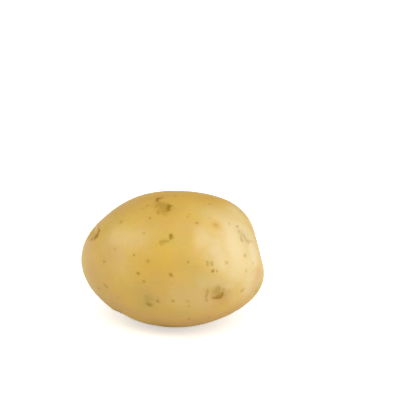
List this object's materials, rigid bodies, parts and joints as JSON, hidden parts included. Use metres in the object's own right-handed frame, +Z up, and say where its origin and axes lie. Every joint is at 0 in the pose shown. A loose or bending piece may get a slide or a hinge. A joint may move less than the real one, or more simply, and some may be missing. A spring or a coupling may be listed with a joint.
{
  "type": "potato",
  "caption": "Smooth yellow table potato, a blunt round-oval tuber with shallow eyes and a stolon scar, lying on a small flat spot.",
  "frame": {"origin": "on the surface that the potato rests on, under the middle of its box", "axes": "+X along the tuber from the heel, where the stolon held it, to the bud end; +Z up; -Y is the side that the picture shows"},
  "size_m": [0.0904, 0.0682, 0.0636],
  "materials": {
    "skin": "satin"
  },
  "bodies": {
    "root": {"potato": "skin"}
  },
  "joints": []
}
